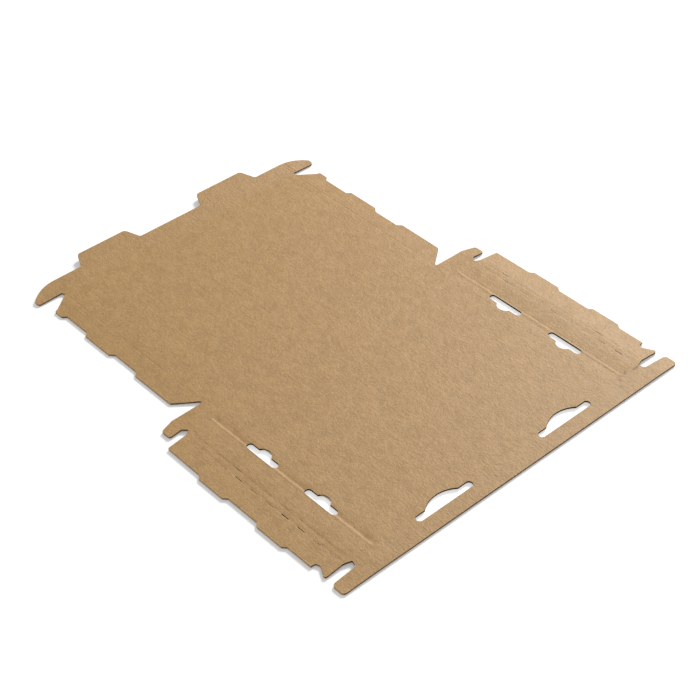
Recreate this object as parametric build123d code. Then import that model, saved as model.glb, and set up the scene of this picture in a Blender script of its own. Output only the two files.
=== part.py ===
"""Flattened die-cut mailing box in thin corrugated board, laid open with its inside up.

Millimetres, +Z up. X runs across the box, +Y towards the lid, the origin is under the middle
of the blank on the face it lies on. Widths are given for the right half and mirrored.
"""
import math
import os

from build123d import *

os.makedirs("parts", exist_ok=True)

# Board: two liners with a fluted paper between them, the flutes running along Y. The land is
# the glued strip between two channels, the tip is the paper left over a channel's point.
board = 1.6
liner = 0.3
flute_pitch = 3.45
flute_land = 0.45
flute_tip = 0.16
nipped = 1.4

# Panels from the front edge to the lid's tabs, each measured between folds.
front_depth = 19.3
base_depth = 186.0
spine_depth = 17.8
lid_depth = 186.8
tuck_depth = 18.2
tab_depth = 14.7
tuck_rise_deg = 7.5

# Folds across the box, and the rows of slits that fold the side walls double.
base_fold_x = 136.8
wall_top_x = 158.0
rim_width = 6.35
lid_fold_x = 130.1

# Outer edges of the wings, and where the lid wing's horn, tooth and hook lie along it.
base_flap_x = 182.7
base_tooth_out = 3.1
lid_flap_x = 145.7
lid_tooth_out = 3.7
lid_horn_depth = 45.1
lid_horn_from_fold = 16.8
lid_tooth_length = 39.0
lid_tooth_forward = 19.3
lid_hook_depth = 9.2
lid_hook_from_fold = 14.6
front_end_x = 183.6
spine_end_x = 174.3
tuck_end_x = 155.0

# Teeth of the side walls and the slots they lock into.
lock_length = 34.6
lock_spacing = 67.0
lock_from_spine = 93.65
tooth_chamfer = 3.6
slot_width = 6.3
slot_outside_fold = 1.0
thumb_chord = 13.8
thumb_rise = 4.3

# Tabs of the lid and the slots in the front fold that take them.
tab_middle_x = 66.3
tab_root = 64.0
tab_tip = 51.0
tab_slot_length = 58.5
tab_slot_below_fold = 5.7
tab_arch_chord = 34.6
tab_arch_rise = 6.1

# Creases and slits.
bead_radius = 1.6
bead_height = 0.4
groove_width = 1.3
groove_depth = 0.16
slit_width = 0.3
slit_length = 8.0
slit_pitch = 17.7
wall_slit_from_spine = 14.4
wall_slit_clear = 10.0
lid_slit_clear = 6.0

rise = math.radians(tuck_rise_deg)
plan_depth = front_depth + base_depth + spine_depth + lid_depth
plan_depth += (tuck_depth + tab_depth) * math.cos(rise)
front_y = -plan_depth / 2
front_fold_y = front_y + front_depth
base_fold_y = front_fold_y + base_depth
lid_fold_y = base_fold_y + spine_depth
tuck_fold_y = lid_fold_y + lid_depth
lid_edge_y = tuck_fold_y + tuck_depth
tab_edge_y = lid_edge_y + tab_depth
lock_middles = [base_fold_y - lock_from_spine + k * lock_spacing / 2 for k in (-1, 1)]
lid_middle = (lid_fold_y + tuck_fold_y) / 2
lid_tooth_middle = lid_middle + lid_tooth_forward
horn_start = lid_fold_y + lid_horn_from_fold
hook_end = tuck_fold_y - lid_hook_from_fold


def rounded(corners):
    """Closed face through corners given as x, y and the radius that rounds them."""
    edges = []
    last = None
    first = None
    count = len(corners)
    for i in range(count):
        x, y, radius = corners[i]
        here = Vector(x, y)
        back = (Vector(*corners[i - 1][:2]) - here).normalized()
        ahead = (Vector(*corners[(i + 1) % count][:2]) - here).normalized()
        start = here
        end = here
        if radius > 0:
            half = math.radians(back.get_angle(ahead)) / 2
            reach = radius / math.tan(half)
            start = here + back * reach
            end = here + ahead * reach
            middle = here + (back + ahead).normalized() * (radius / math.sin(half) - radius)
        if last is not None:
            edges.append(Edge.make_line(last, start))
        if radius > 0:
            edges.append(Edge.make_three_point_arc(start, middle, end))
        if first is None:
            first = start
        last = end
    edges.append(Edge.make_line(last, first))
    return Face(Wire(edges))


def tooth(middle, edge, out, chamfer_from, chamfer_to, half):
    """Corners of one tooth standing out from a straight edge, from its lower end up."""
    return [
        (edge, middle - half, 0),
        (edge + out, middle - half + chamfer_from, 0),
        (edge + out, middle + half - chamfer_to, 0),
        (edge, middle + half, 0),
    ]


# Right-hand outline, from the front edge round to the middle of the lid's edge.
outline = [
    (front_end_x, front_y, 3.2),
    (front_end_x, front_fold_y - 7.0, 3.4),
    (wall_top_x + 1.2, front_fold_y - 5.7, 3.4),
    (wall_top_x - 0.5, front_fold_y - 0.2, 1.2),
    (wall_top_x + 6.5, front_fold_y + 2.0, 6.0),
    (base_flap_x + 0.9, front_fold_y + 1.1, 1.6),
    (base_flap_x - 5.5, front_fold_y + 12.0, 2.0),
    (base_flap_x - 4.1, front_fold_y + 16.0, 1.5),
    (base_flap_x, front_fold_y + 16.3, 0),
]
for middle in lock_middles:
    outline += tooth(middle, base_flap_x, base_tooth_out, tooth_chamfer, tooth_chamfer, lock_length / 2)
outline += [
    (base_flap_x - 0.3, base_fold_y - 4.6, 1.0),
    (wall_top_x + 4.6, base_fold_y - 2.9, 2.5),
    (wall_top_x - 0.4, base_fold_y + 0.2, 1.4),
    (wall_top_x + 4.3, base_fold_y + 4.4, 1.5),
    (spine_end_x, base_fold_y + 3.5, 2.0),
    (spine_end_x, lid_fold_y - 4.3, 2.5),
    (spine_end_x - 13.0, lid_fold_y - 0.2, 4.0),
    (lid_fold_x + 0.2, lid_fold_y, 0.7),
    (lid_fold_x + 0.3, lid_fold_y + 2.3, 1.0),
    (lid_flap_x + lid_tooth_out, horn_start, 1.0),
    (lid_flap_x + lid_tooth_out, horn_start + lid_horn_depth, 0),
    (lid_flap_x, horn_start + lid_horn_depth + 4.3, 0),
]
outline += tooth(lid_tooth_middle, lid_flap_x, lid_tooth_out, 4.2, 3.2, lid_tooth_length / 2)
outline += [
    (lid_flap_x, hook_end - lid_hook_depth - 3.4, 0),
    (lid_flap_x + lid_tooth_out, hook_end - lid_hook_depth, 0),
    (lid_flap_x + lid_tooth_out, hook_end, 1.4),
    (lid_flap_x + 0.3, hook_end + 1.0, 1.4),
    (lid_fold_x - 0.6, tuck_fold_y - 1.7, 1.2),
    (lid_fold_x + 1.0, tuck_fold_y + 1.5, 1.2),
    (tuck_end_x - 0.4, tuck_fold_y + 1.3, 2.2),
    (tuck_end_x, tuck_fold_y + 6.9, 3.0),
    (tuck_end_x - 13.2, lid_edge_y, 38.0),
    (tab_middle_x + tab_root / 2, lid_edge_y, 2.5),
    (tab_middle_x + tab_tip / 2, tab_edge_y, 4.0),
    (tab_middle_x - tab_tip / 2, tab_edge_y, 4.0),
    (tab_middle_x - tab_root / 2, lid_edge_y, 2.5),
]
mirrored = [(-x, y, radius) for x, y, radius in reversed(outline)]
blank = Sketch() + rounded(outline + mirrored)


def arched_slot(length, chord, rise_height):
    """Slot along X with a circular arch on its +Y side, centred on the plain slot."""
    radius = (chord**2 / 4 + rise_height**2) / (2 * rise_height)
    arch = Pos(0, slot_width / 2 + rise_height - radius) * Circle(radius)
    arch &= Pos(0, slot_width / 2 + rise_height / 2 - 0.5) * Rectangle(chord + 2, rise_height + 1.0)
    return SlotOverall(length, slot_width) + arch


side_slot = arched_slot(lock_length, thumb_chord, thumb_rise)
front_slot = arched_slot(tab_slot_length, tab_arch_chord, tab_arch_rise)
slot_x = base_fold_x + slot_outside_fold - slot_width / 2
slot_y = front_fold_y - tab_slot_below_fold + slot_width / 2
for side in (-1, 1):
    blank -= Pos(side * tab_middle_x, slot_y) * front_slot
    for middle in lock_middles:
        blank -= Pos(side * slot_x, middle) * Rot(0, 0, side * 90) * side_slot

sheet = extrude(blank, board)

# Air in the flutes: low and high channels in turn, each closed by one liner. They are nipped
# shut at the cut edges, side folds and slit rows that run the same way.
half_base = (flute_pitch - flute_land) / 2
tip = board - 2 * liner - flute_tip
low = Polygon((-half_base, liner), (half_base, liner), (0, liner + tip), align=None)
high = Pos(0, board) * mirror(low, about=Plane.XZ)
flat_bands = [
    (slot_x - slot_width / 2 - nipped, base_fold_x + nipped),
    (lid_flap_x - nipped, lid_flap_x + lid_tooth_out + nipped),
    (wall_top_x - nipped, wall_top_x + nipped),
    (wall_top_x + rim_width - nipped, wall_top_x + rim_width + nipped),
    (base_flap_x - nipped, base_flap_x + base_tooth_out),
]
section = Sketch() + low
for k in range(1, math.ceil(2 * base_flap_x / flute_pitch)):
    x = k * flute_pitch / 2
    if not any(a < x + half_base and x - half_base < b for a, b in flat_bands):
        section += Pos(x, 0) * (high if k % 2 else low)
        section += Pos(-x, 0) * (high if k % 2 else low)
sheet -= extrude(Plane.XZ * section, plan_depth, both=True)

# Pressed folds across the box: shallow grooves in the upper liner, left out at the front slots.
groove = Polygon(
    (-groove_width / 2, board),
    (0, board - groove_depth),
    (groove_width / 2, board),
    (0, board + 0.5),
    align=None,
)
slot_clear = tab_middle_x - tab_slot_length / 2 - 1.0
slot_far = tab_middle_x + tab_slot_length / 2 + 1.0
pressed = [(front_fold_y, -slot_clear, slot_clear)]
pressed += [(front_fold_y, slot_far, wall_top_x - 1.5), (front_fold_y, 1.5 - wall_top_x, -slot_far)]
pressed += [(base_fold_y, 1.5 - wall_top_x, wall_top_x - 1.5)]
pressed += [(lid_fold_y, 0.6 - lid_fold_x, lid_fold_x - 0.6)]
grooves = Part()
for y, start, end in pressed:
    grooves += Pos(start, y) * extrude(Plane.YZ * groove, end - start)
sheet -= grooves

# Side folds of the base: a raised bead and a groove on its inner side, broken by the slots.
bead = Pos(0, board + bead_height - bead_radius) * Circle(bead_radius)
bead &= Pos(0, board + 0.4) * Rectangle(2 * bead_radius, 1.0)
bead_ends = [front_fold_y + 1.5]
for middle in lock_middles:
    bead_ends += [middle - lock_length / 2 - 1.0, middle + lock_length / 2 + 1.0]
bead_ends += [base_fold_y - 1.5]
side_grooves = Part()
beads = Part()
for start, end in zip(bead_ends[::2], bead_ends[1::2]):
    for side in (-1, 1):
        beads += Pos(side * base_fold_x, end) * extrude(Plane.XZ * bead, end - start)
        inner = side * (base_fold_x - 2.2)
        side_grooves += Pos(inner, end) * extrude(Plane.XZ * groove, end - start)
sheet -= side_grooves

# Slits through the board: two rows in each side wall, one row at each edge of the lid.
slits = Part()
slit = Box(slit_width, slit_length, 2 * board)
wall_slits = int((base_depth - wall_slit_from_spine - wall_slit_clear) / slit_pitch) + 1
lid_slits = int((lid_depth - 2 * lid_slit_clear) / slit_pitch)
for side in (-1, 1):
    for k in range(wall_slits):
        y = base_fold_y - wall_slit_from_spine - k * slit_pitch
        slits += Pos(side * (wall_top_x + rim_width), y, board / 2) * slit
        if k > 0:
            slits += Pos(side * wall_top_x, y + slit_pitch / 2, board / 2) * slit
    for k in range(lid_slits):
        y = lid_middle + (k - (lid_slits - 1) / 2) * slit_pitch
        slits += Pos(side * lid_fold_x, y, board / 2) * slit
sheet -= slits

# The tuck flap springs up a little at its fold, where both halves are mitred together.
half_rise = rise / 2
hinge = (0, tuck_fold_y, 0)
main_end = Plane(hinge, x_dir=(1, 0, 0), z_dir=(0, math.cos(half_rise), math.sin(half_rise)))
flap_start = Plane(hinge, x_dir=(1, 0, 0), z_dir=(0, math.cos(half_rise), -math.sin(half_rise)))
main = split(sheet, bisect_by=main_end, keep=Keep.BOTTOM)
flap = split(sheet, bisect_by=flap_start, keep=Keep.TOP)
flap = flap.rotate(Axis(hinge, (1, 0, 0)), tuck_rise_deg)
sheet = main + flap + beads

export_step(sheet, "parts/mailing_box_blank.step")
print("solids", len(sheet.solids()), "faces", len(sheet.faces()), "volume", sheet.volume)
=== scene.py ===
import math

import bmesh
import bpy
import numpy as np
from mathutils import Matrix, Vector


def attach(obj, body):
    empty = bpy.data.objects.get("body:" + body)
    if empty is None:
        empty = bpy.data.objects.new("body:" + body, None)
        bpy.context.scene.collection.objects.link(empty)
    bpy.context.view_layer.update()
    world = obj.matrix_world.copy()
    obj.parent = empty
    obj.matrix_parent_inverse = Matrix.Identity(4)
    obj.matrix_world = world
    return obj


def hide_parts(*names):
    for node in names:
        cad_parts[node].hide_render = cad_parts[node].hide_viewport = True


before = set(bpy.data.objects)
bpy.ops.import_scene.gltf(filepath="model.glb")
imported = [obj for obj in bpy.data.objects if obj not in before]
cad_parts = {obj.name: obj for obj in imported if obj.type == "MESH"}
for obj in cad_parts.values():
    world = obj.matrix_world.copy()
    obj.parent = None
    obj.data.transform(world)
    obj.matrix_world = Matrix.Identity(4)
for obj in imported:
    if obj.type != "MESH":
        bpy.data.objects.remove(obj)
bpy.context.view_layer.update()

# Camera: above the blank's near left corner, with a long lens, looking down across the
# whole sheet.
MM = 0.001
forward = Vector((0.51539, 0.55676, -0.65145)).normalized()
upward = Vector((0.73498, -0.67808, 0.00197)).cross(forward).normalized()
rightward = forward.cross(upward)
camera = bpy.data.objects.new("camera", bpy.data.cameras.new("camera"))
camera.data.lens = 90.571
camera.data.sensor_width = 36.0
camera.data.clip_start = 0.01
camera.matrix_world = Matrix.Translation(Vector((-743.19, -831.80, 940.25)) * MM) @ Matrix(
    (rightward, upward, -forward)
).transposed().to_4x4()
bpy.context.scene.collection.objects.link(camera)
bpy.context.scene.camera = camera

# Board: one die-cut blank of thin corrugated board, two kraft liners glued to a fluted paper.
# It is cut and creased in one stroke and lies open, inside up, sprung a little off the table
# between its side flaps. Lengths are in millimetres, x across and y from front to back.
BOARD = 1.6
LINER = 0.3
FLUTE = 3.45
FRONT_FOLD = -201.96
BASE_FOLD = -15.96
LID_FOLD = 1.84
TUCK_FOLD = 188.64
TUCK_RISE = math.radians(7.5)
TUCK_LENGTH = 32.4
WALL_TOP_X = 158.0
WALL_OUTER_X = 164.35
LID_FOLD_X = 130.1
SLIT_PITCH = 17.7
WALL_SLOTS_Y = -109.6
TAB_SLOTS_X = 66.3

blank = bpy.data.objects.new("board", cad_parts["mailing_box_blank"].data.copy())
bpy.context.scene.collection.objects.link(blank)
cutter = bmesh.new()
cutter.from_mesh(blank.data)
bmesh.ops.remove_doubles(cutter, verts=cutter.verts, dist=1e-6)


def over_outer_liner(point):
    """Height in the board over its outer face, in mm, on the raised tuck flap too."""
    beyond = point.y / MM - TUCK_FOLD
    if beyond < 0.3:
        return point.z / MM
    return point.z / MM * math.cos(TUCK_RISE) - beyond * math.sin(TUCK_RISE)


def sliced(faces, axis, places):
    """Cuts the faces at sorted places along an axis and returns what they have become."""
    if not places or not faces:
        return faces
    half = len(places) // 2
    normal = Vector([float(i == axis) for i in range(3)])
    around = {v for f in faces for v in f.verts} | {e for f in faces for e in f.edges}
    cut = bmesh.ops.bisect_plane(
        cutter,
        geom=faces + list(around),
        dist=1e-7,
        plane_co=normal * places[half] * MM,
        plane_no=normal,
    )
    faces = [item for item in cut["geom"] if isinstance(item, bmesh.types.BMFace)]
    below = [f for f in faces if f.calc_center_median()[axis] < places[half] * MM]
    above = [f for f in faces if f.calc_center_median()[axis] >= places[half] * MM]
    return sliced(below, axis, places[:half]) + sliced(above, axis, places[half + 1 :])


# The stiff creases of the solid are pressed flat first: the soft ones of the real sheet, which
# are wider and lower, come in their place with the lie.
for v in cutter.verts:
    if over_outer_liner(v.co) > BOARD - 0.25 and v.co.y / MM < TUCK_FOLD - 1:
        v.co.z = BOARD * MM
bmesh.ops.dissolve_degenerate(cutter, edges=cutter.edges, dist=1e-7)
bmesh.ops.dissolve_limit(
    cutter, angle_limit=math.radians(0.5), verts=cutter.verts, edges=cutter.edges
)


def upper_face():
    inside = BOARD - LINER + 0.05
    return [f for f in cutter.faces if min(over_outer_liner(v.co) for v in f.verts) > inside]


def lower_face():
    return [f for f in cutter.faces if max(over_outer_liner(v.co) for v in f.verts) < 0.1]


# Then it is sliced so that it can bend: everything at a few places, and both liners at each
# quarter of a flute, closer at the side folds. The upper one has rows from front to back too.
fluted = [k * FLUTE / 4 for k in range(-216, 217)]
folded = [side * (126.2 + k * FLUTE / 8) for side in (-1, 1) for k in range(33)]
steps = sorted(fluted + [x for x in folded if min(abs(x - f) for f in fluted) > 0.15])
bends = sorted(side * k * FLUTE for side in (-1, 1) for k in (28, 32, 36, 40, 44, 47, 50))
sliced(cutter.faces[:], 0, bends)
sliced(upper_face(), 0, steps)
sliced(lower_face(), 0, steps)
near_folds = [FRONT_FOLD + d for d in (-2.0, 0.5, 3.0, 5.5)]
near_folds += [BASE_FOLD + d for d in (-6.0, -3.5, -1.0, 1.5)]
sliced(cutter.faces[:], 1, sorted([k * 30.0 for k in range(-7, 8)] + near_folds))
rows = [k * 6.0 + 0.3 for k in range(-36, 37)]
for fold, before, after in ((FRONT_FOLD, 8, 6), (BASE_FOLD, 6, 2), (LID_FOLD, 2, 4)):
    rows = [y for y in rows if not fold - before - 0.5 < y < fold + after + 0.5]
    rows += list(np.arange(fold - before, fold + after + 0.1, 0.8))
sliced(upper_face(), 1, sorted(rows))
bmesh.ops.triangulate(cutter, faces=cutter.faces)

# The knife's edges are sharp and all else is shaded smooth.
cutter.normal_update()
for e in cutter.edges:
    e.smooth = e.calc_face_angle(0.0) < math.radians(35)
for f in cutter.faces:
    f.smooth = True
cutter.to_mesh(blank.data)
cutter.free()


class Field:
    """One value that changes from place to place, as an output of a node tree."""

    def __init__(self, tree, socket=None):
        self.tree = tree
        self.socket = socket

    def node(self, kind, settings=None, values=None, out=0):
        """Adds a node, its settings first, then the values or links of its inputs."""
        made = self.tree.nodes.new(kind)
        for name, value in (settings or {}).items():
            setattr(made, name, value)
        for name, value in (values or {}).items():
            if isinstance(value, Field):
                self.tree.links.new(value.socket, made.inputs[name])
            else:
                made.inputs[name].default_value = value
        return Field(self.tree, made.outputs[out])

    def maths(self, operation, *others):
        return self.node("ShaderNodeMath", {"operation": operation}, dict(enumerate((self, *others))))

    def __add__(self, other):
        return self.maths("ADD", other)

    __radd__ = __add__

    def __sub__(self, other):
        return self.maths("SUBTRACT", other)

    def __rsub__(self, other):
        return self * -1.0 + other

    def __mul__(self, other):
        return self.maths("MULTIPLY", other)

    __rmul__ = __mul__

    def size(self):
        return self.maths("ABSOLUTE")

    def below(self, limit):
        """1 where this is under the limit, else 0."""
        return self.maths("LESS_THAN", limit)

    def step(self, low, high):
        """0 before low, 1 past high, smooth between them."""
        return self.node(
            "ShaderNodeMapRange",
            {"interpolation_type": "SMOOTHSTEP"},
            {"Value": self, "From Min": low, "From Max": high},
        )

    def bell(self, middle, width):
        """1 at the middle, falling off smoothly to nearly 0 at twice the width."""
        away = (self - middle) * (1 / width)
        return (away * away * -1.0).maths("EXPONENT")

    def bent(self, knots, soft):
        """The line through knots, each a value of this and a result, with rounded bends."""
        places, results = zip(*knots)
        slopes = [0.0, *(np.diff(results) / np.diff(places)).tolist(), 0.0]
        line = results[0]
        for place, before, after in zip(places, slopes, slopes[1:]):
            away = self - place
            line = (away + (away * away + soft * soft).maths("SQRT")) * ((after - before) / 2) + line
        return line

    def scaled(self, factors):
        return self.node("ShaderNodeVectorMath", {"operation": "MULTIPLY"}, {0: self, 1: factors})

    def axes(self):
        """The three parts of a vector."""
        return [self.node("ShaderNodeSeparateXYZ", None, {0: self}, axis) for axis in range(3)]

    def noise(self, size, detail=2.0, roughness=0.5, stretch=(1, 1, 1)):
        """Noise around 0, within about 0.5 of it, whose features are about size millimetres."""
        place = self.scaled([s / size for s in stretch])
        made = self.node(
            "ShaderNodeTexNoise",
            None,
            {"Vector": place, "Scale": 1.0, "Detail": detail, "Roughness": roughness},
        )
        return made - 0.5

    def mix(self, first, second):
        """Colour from first to second by this value."""
        return self.node("ShaderNodeMix", {"data_type": "RGBA"}, {0: self, 6: first, 7: second}, 2)


def new_material(name):
    """A material with its tree, its shader and the place on the object in millimetres."""
    material = bpy.data.materials.new(name)
    material.use_nodes = True
    tree = material.node_tree
    place = Field(tree).node("ShaderNodeTexCoord", out=3).scaled([1 / MM] * 3)
    return material, tree, tree.nodes["Principled BSDF"], place


# Kraft liner: smooth brown recycled paper. Its fibres and its slightly uneven face mottle it in
# several sizes, mostly along the flutes, and a few dark specks are pulped into it. The flaps beyond
# the slits are painted paler and whiter, a painted sheen. The slit rows are painted darker in
# patches, painted shade in their creases, and so are a few small kinks near the front fold.
KRAFT_DARK = (0.375, 0.216, 0.0760, 1)
KRAFT_LIGHT = (0.492, 0.291, 0.1125, 1)
SPECK_AND_SHADE = (0.13, 0.075, 0.035, 1)
liner, tree, shader, place = new_material("kraft_liner")
x, y, z = place.axes()
from_middle = x.size()
fibres = place.noise(1.0, 2.0, 0.65, (1.3, 0.7, 1))
grain = place.noise(1.9, 2.0, 0.6, (1.2, 0.8, 1))
mottle = place.noise(4.5, 1.0, 0.5, (1.1, 0.85, 1))
cloud = place.noise(12.0, 1.0, 0.5)
tone = fibres * 1.8 + grain * 1.6 + mottle * 1.0 + cloud * 0.85
colour = (tone + 0.5).mix(KRAFT_DARK, KRAFT_LIGHT)
# Painted sheen: the flaps beyond the slits are painted paler and whiter.
flap_sheen = from_middle.step(WALL_OUTER_X - 0.95, WALL_OUTER_X + 0.25) * (1 - y.step(-10.0, 0.0))
colour = flap_sheen.mix(colour, colour.scaled((1.05, 1.065, 1.10)))
specks = (place + 7.7).noise(1.1, 1.0, 0.5).step(0.27, 0.33)
# Painted shade: patchy darker dashes along the slit rows, where they crease the sheet.
rows = from_middle.bell(WALL_TOP_X, 0.9) + from_middle.bell(WALL_OUTER_X, 0.9)
row_shade = rows * place.noise(3.0, 2.0, 0.6, (2.5, 0.6, 1)).step(0.02, 0.20)
row_shade = row_shade * y.below(BASE_FOLD) * (y * -1.0).below(-FRONT_FOLD)
# Painted shade in small kinks and dents near the front fold.
kink_shade = 0.0
for kink_x, kink_y, across, along, strength in (
    (151.9, -203.2, 5.5, 0.9, 0.65),
    (157.3, -202.8, 1.2, 0.9, 0.5),
    (136.9, -201.7, 1.0, 0.8, 0.6),
    (141.9, -201.5, 1.0, 1.5, 0.6),
    (131.9, -204.0, 1.0, 1.8, 0.35),
    (127.1, -209.3, 1.5, 1.5, 0.35),
    (157.1, -195.5, 0.6, 2.6, 0.6),
):
    kink_shade = x.bell(kink_x, across) * y.bell(kink_y, along) * strength + kink_shade
# Real specks, and the painted shade of the slit rows and kinks, darken toward the same colour.
colour = (specks * 0.6 + row_shade * 0.35 + kink_shade).mix(colour, SPECK_AND_SHADE)
tree.links.new(colour.socket, shader.inputs["Base Color"])
crinkles = 0.0
for crinkle_x, crinkle_y, reach in (
    (-30.2, -201.4, 4.0),
    (-14.0, -207.0, 7.0),
    (14.7, -195.2, 4.0),
    (34.1, -199.3, 3.5),
    (101.1, -197.0, 4.0),
    (-98.2, -204.1, 4.0),
    (141.0, -200.0, 6.0),
    (-141.0, -199.0, 6.0),
    (133.8, -96.3, 2.0),
):
    crinkles = x.bell(crinkle_x, reach) * y.bell(crinkle_y, reach * 0.8) + crinkles
height = fibres * 0.18 + grain * 0.25 + mottle * 0.23 + cloud * 0.24
height = height + crinkles * (place + 3.1).noise(2.4, 2.0, 0.6) * 0.5
bump = height.node("ShaderNodeBump", None, {"Height": height, "Distance": MM, "Strength": 1.0})
tree.links.new(bump.socket, shader.inputs["Normal"])
shader.inputs["Roughness"].default_value = 0.53
shader.inputs["Specular IOR Level"].default_value = 0.42

# Raw edge: the cut through both liners and the fluted paper between them, brown along the
# flutes. Across them, where they are open, painted shade darkens it, and most in the slots and slits.
raw_edge, tree, shader, place = new_material("raw_edge")
x, y, z = place.axes()
colour = (place.noise(0.9, 2.0, 0.6) + 0.5).mix((0.34, 0.215, 0.11, 1), (0.62, 0.41, 0.22, 1))
from_middle = x.size()
# Painted shade in the slots and along the slit rows.
slots = (from_middle - 135.0).size().below(5.0) * (y - WALL_SLOTS_Y).size().below(56.0)
slots = slots + (from_middle - TAB_SLOTS_X).size().below(32.0) * (y + 203.0).size().below(10.0)
for row in (WALL_TOP_X, WALL_OUTER_X):
    slots = slots + (from_middle - row).size().below(0.5) * y.below(-20.0)
# Painted shade in the open flute mouths: faces across the flutes are painted darker.
across_flutes = place.node("ShaderNodeNewGeometry", out=3).axes()[1].size().step(0.4, 0.9)
dark = across_flutes.maths("MULTIPLY_ADD", 0.75, slots * 0.9).maths("MINIMUM", 0.95)
colour = dark.mix(colour, (0.030, 0.020, 0.012, 1))
tree.links.new(colour.socket, shader.inputs["Base Color"])
shader.inputs["Roughness"].default_value = 0.95
shader.inputs["Specular IOR Level"].default_value = 0.1

# How the sheet lies: it rises off the table between the side flaps, whose edges carry it. Both
# liners follow the side folds, the upper one is creased at the cross folds and the slit rows,
# and the flutes print through both.
BASE_LIE = (
    (-186, 0.35), (-175, 0.74), (-164, 1.18), (-152, 1.46), (-139, 1.35), (-125, 1.15),
    (-110, 1.03), (-96, 1.0), (96, 1.0), (110, 0.98), (125, 0.95), (139, 0.97),
    (152, 1.32), (163, 1.36), (174, 0.78), (186, 0.05),
)
LID_LIE = (
    (-186, 0.0), (-149.4, 0.15), (-138, 0.50), (-126, 0.85), (-110, 0.97), (-96, 1.0),
    (96, 1.0), (112, 0.98), (126, 0.90), (138, 0.63), (149.4, 0.25), (186, 0.0),
)
LEFT_FOLD = (
    (-150, 0), (-140, -0.11), (-139.1, -0.12), (-137.9, -0.02), (-137.2, -0.06), (-135.6, -0.60),
    (-135.2, -0.62), (-133.2, -0.35), (-129.8, -0.10), (-127, -0.02), (-124, 0),
)
RIGHT_FOLD = (
    (124, 0), (128, -0.02), (134.2, -0.26), (134.9, -0.26), (136.7, -0.08), (137.2, -0.10),
    (138.8, -0.38), (139.4, -0.40), (141, -0.31), (152, 0),
)
lie = bpy.data.node_groups.new("board_lie", "GeometryNodeTree")
sockets = {}
for name, kind, value in (
    ("Board", "NodeSocketGeometry", None),
    ("Side fold strength", "NodeSocketFloat", 1.0),
    ("Front fold ridge", "NodeSocketFloat", 0.13),
    ("Slit row valley", "NodeSocketFloat", 0.10),
    ("Slit opening", "NodeSocketFloat", 0.2),
    ("Flute pitch", "NodeSocketFloat", FLUTE),
    ("Print-through", "NodeSocketFloat", 0.012),
    ("Liner", "NodeSocketMaterial", liner),
    ("Raw edge", "NodeSocketMaterial", raw_edge),
):
    sockets[name] = (lie.interface.new_socket(name, in_out="INPUT", socket_type=kind), value)
lie.interface.new_socket("Board", in_out="OUTPUT", socket_type="NodeSocketGeometry")
given = lie.nodes.new("NodeGroupInput")
inputs = {name: Field(lie, given.outputs[name]) for name in sockets}
start = Field(lie)
place = start.node("GeometryNodeInputPosition").scaled([1 / MM] * 3)
x, y, z = place.axes()
from_middle = x.size()
beyond = (y - TUCK_FOLD).maths("MAXIMUM", 0.0)
in_board = z * (1 - (1 - math.cos(TUCK_RISE)) * beyond.step(0.0, 0.3)) - beyond * math.sin(TUCK_RISE)
raw = (1 - in_board.below(0.1)) * in_board.below(BOARD - 0.2)
top = in_board.step(BOARD - 0.3, BOARD - 0.2)
bottom = in_board.step(0.2, 0.1)

on_lid = y.step(-20.0, 15.0)
lift = x.bent(BASE_LIE, 5.0) * (1 - on_lid) + x.bent(LID_LIE, 5.0) * on_lid
lift = lift * (1 - 0.5 * (y * -1.0).step(200.0, 222.0))
lift = lift * (1 - beyond * (1 / TUCK_LENGTH)).maths("MAXIMUM", 0.0)

base_part = y.step(FRONT_FOLD - 0.5, FRONT_FOLD + 4.0) * (1 - y.step(BASE_FOLD - 4.5, BASE_FOLD))
drifted = x - 0.6 * (y * -1.0).step(110.0, 185.0)
side_fold = drifted.bent(LEFT_FOLD, 0.3) + drifted.bent(RIGHT_FOLD, 0.3)
side_fold = side_fold * inputs["Side fold strength"] * base_part

pressed = inputs["Front fold ridge"] * y.bell(FRONT_FOLD + 0.4, 2.5)
pressed = pressed + 0.05 * y.bell(BASE_FOLD - 3.0, 2.0) - 0.04 * y.bell(BASE_FOLD - 0.2, 0.8)
pressed = pressed + 0.06 * y.bell(LID_FOLD + 0.4, 2.0)
pressed = pressed + 0.12 * x.bell(134.6, 0.8) * y.step(188.0, 191.0) * (1 - y.step(207.0, 211.0))
in_rows = y.step(FRONT_FOLD, FRONT_FOLD + 5.0) * (1 - y.step(BASE_FOLD - 8.0, BASE_FOLD - 4.0))
uneven = 1.0 + 2.2 * place.noise(6.0, 2.0, 0.6, (1.5, 1, 0))
valleys = from_middle.bell(WALL_TOP_X + 0.6, 1.5) + 0.5 * from_middle.bell(WALL_OUTER_X - 0.5, 1.0)
pressed = pressed - inputs["Slit row valley"] * valleys * uneven * in_rows
pressed = pressed - 0.06 * from_middle.bell(LID_FOLD_X - 0.7, 1.5) * y.step(10.0, 20.0)
for dent_x, dent_y, across, along, depth in (
    (141.9, -200.8, 1.4, 1.4, 0.22),
    (139.5, -204.0, 1.6, 1.2, -0.12),
    (131.9, -204.0, 1.2, 1.8, 0.20),
    (152.0, -203.2, 6.0, 0.9, 0.27),
    (152.0, -201.2, 6.0, 1.0, -0.12),
    (127.1, -208.5, 1.8, 1.5, 0.16),
    (-141.5, -199.0, 1.6, 1.2, 0.14),
):
    pressed = pressed - depth * x.bell(dent_x, across) * y.bell(dent_y, along)

ripple = (x * (2 * math.pi)).maths("DIVIDE", inputs["Flute pitch"]).maths("COSINE")
printed = inputs["Print-through"] * (ripple - 1) * (top - bottom)
rise = lift + side_fold + pressed * top + printed

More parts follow.
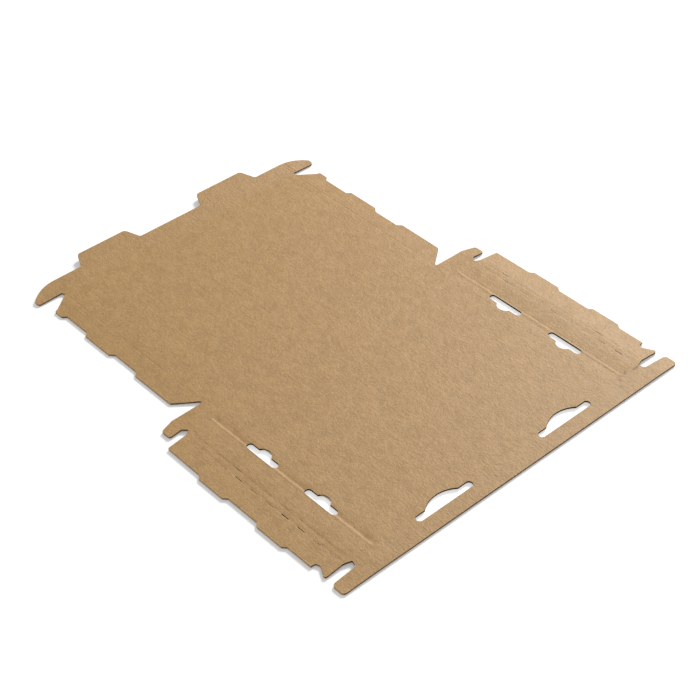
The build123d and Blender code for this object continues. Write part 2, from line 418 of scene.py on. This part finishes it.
# The knives leave no gap: each slit springs nearly shut, but some stay open.
open_slits = 0.0
for slit_x, slit_y, opening in (
    (-WALL_OUTER_X, -65.8, 0.6),
    (-WALL_OUTER_X, -83.5, 1.6),
    (-WALL_OUTER_X, -101.2, 0.8),
    (-WALL_OUTER_X, -118.9, 0.8),
    (-WALL_OUTER_X, -136.6, 2.2),
    (-WALL_OUTER_X, -154.3, 1.8),
    (-WALL_OUTER_X, -172.0, 0.9),
    (-WALL_TOP_X, -74.6, 0.8),
    (WALL_TOP_X, -56.9, 0.8),
    (WALL_TOP_X, -74.6, 0.6),
    (WALL_TOP_X, -110.0, 0.7),
    (WALL_TOP_X, -163.1, 1.0),
    (WALL_TOP_X, -180.8, 1.3),
    (WALL_OUTER_X, -48.1, 0.9),
    (WALL_OUTER_X, -154.3, 0.9),
):
    at_slit = (x - slit_x).size().below(1.0) * (y - slit_y).size().below(SLIT_PITCH / 2)
    open_slits = at_slit * opening + open_slits
closing = 0.0
for row, lowest, highest in (
    (WALL_TOP_X, FRONT_FOLD, BASE_FOLD),
    (WALL_OUTER_X, FRONT_FOLD, BASE_FOLD),
    (LID_FOLD_X, LID_FOLD + 4.0, TUCK_FOLD),
):
    in_slit = (from_middle - row).size().below(0.17) * y.below(highest) * (1 - y.below(lowest))
    closing = (from_middle - row) * in_slit + closing
shift = closing * (inputs["Slit opening"] + open_slits - 1) * x.maths("SIGN")
moved = rise.node("ShaderNodeCombineXYZ", None, {0: shift * MM, 2: rise * MM})

keep = lie.nodes.new("GeometryNodeCaptureAttribute")
keep.domain = "FACE"
keep.capture_items.new("FLOAT", "raw")
lie.links.new(inputs["Board"].socket, keep.inputs["Geometry"])
lie.links.new(raw.socket, keep.inputs["raw"])
shape = start.node(
    "GeometryNodeSetPosition", None, {"Geometry": Field(lie, keep.outputs["Geometry"]), "Offset": moved}
)
shape = shape.node("GeometryNodeRealizeInstances", None, {0: shape})
shape = shape.node("GeometryNodeSetMaterial", None, {"Geometry": shape, "Material": inputs["Liner"]})
rough = Field(lie, keep.outputs["raw"])
shape = shape.node(
    "GeometryNodeSetMaterial",
    None,
    {"Geometry": shape, "Selection": rough, "Material": inputs["Raw edge"]},
)
result = lie.nodes.new("NodeGroupOutput")
lie.links.new(shape.socket, result.inputs[0])

modifier = blank.modifiers.new("lie", "NODES")
modifier.node_group = lie
for socket, value in sockets.values():
    if value is not None:
        modifier[socket.identifier] = value
blank.data.materials.clear()
done = bpy.data.meshes.new_from_object(blank.evaluated_get(bpy.context.evaluated_depsgraph_get()))
blank.modifiers.clear()
blank.data = done
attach(blank, "root")
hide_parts("mailing_box_blank")

# Table and light: a plain white table, one large soft lamp low behind the right edge, and pale
# surroundings that fill its shadow. To the camera the table glows a little, as a white one that is
# lit for a photo does. Where it is seen through the slots it glows more: painted light that lightens
# the shadow there.
ground, tree, shader, place = new_material("white_table")
shader.inputs["Base Color"].default_value = (0.98, 0.98, 0.98, 1)
shader.inputs["Roughness"].default_value = 1.0
shader.inputs["Specular IOR Level"].default_value = 0.0
seen = place.node("ShaderNodeLightPath", out=0) + place.node("ShaderNodeLightPath", out=3)
seen = seen + place.node("ShaderNodeLightPath", out=6)
shader.inputs["Emission Strength"].default_value = 1.0
x, y, z = place.axes()
from_middle = x.size()
wall_slots = (from_middle - 134.5).size().below(7.0) * (y - WALL_SLOTS_Y).size().below(56.0)
tab_slots = (from_middle - TAB_SLOTS_X).size().below(34.0) * (y + 201.0).size().below(14.0)
behind_slots = wall_slots + tab_slots
# Painted light: the table glows brighter behind the slots, lightening their shadow.
glow = behind_slots.mix((0.22, 0.22, 0.22, 1), (0.48, 0.48, 0.48, 1))
glow = seen.mix((0, 0, 0, 1), glow)
tree.links.new(glow.socket, shader.inputs["Emission Color"])
bpy.ops.mesh.primitive_plane_add(size=16.0, location=(0, 0, -0.0002))
table = bpy.context.object
table.name = "table_top"
table.data.materials.append(ground)

lamp = bpy.data.objects.new("softbox", bpy.data.lights.new("softbox", "AREA"))
lamp.data.shape = "DISK"
lamp.data.size = 1.4
lamp.data.energy = 159
lamp.data.color = (1.0, 0.985, 0.96)
lamp.location = (3.08, 1.12, 2.29)
lamp.rotation_euler = (-Vector(lamp.location)).to_track_quat("-Z", "Y").to_euler()
bpy.context.scene.collection.objects.link(lamp)

world = bpy.data.worlds.new("room")
world.use_nodes = True
bpy.context.scene.world = world
world.node_tree.nodes["Background"].inputs["Color"].default_value = (0.97, 0.985, 1.0, 1)
world.node_tree.nodes["Background"].inputs["Strength"].default_value = 0.42

bpy.context.scene.view_settings.view_transform = "Standard"
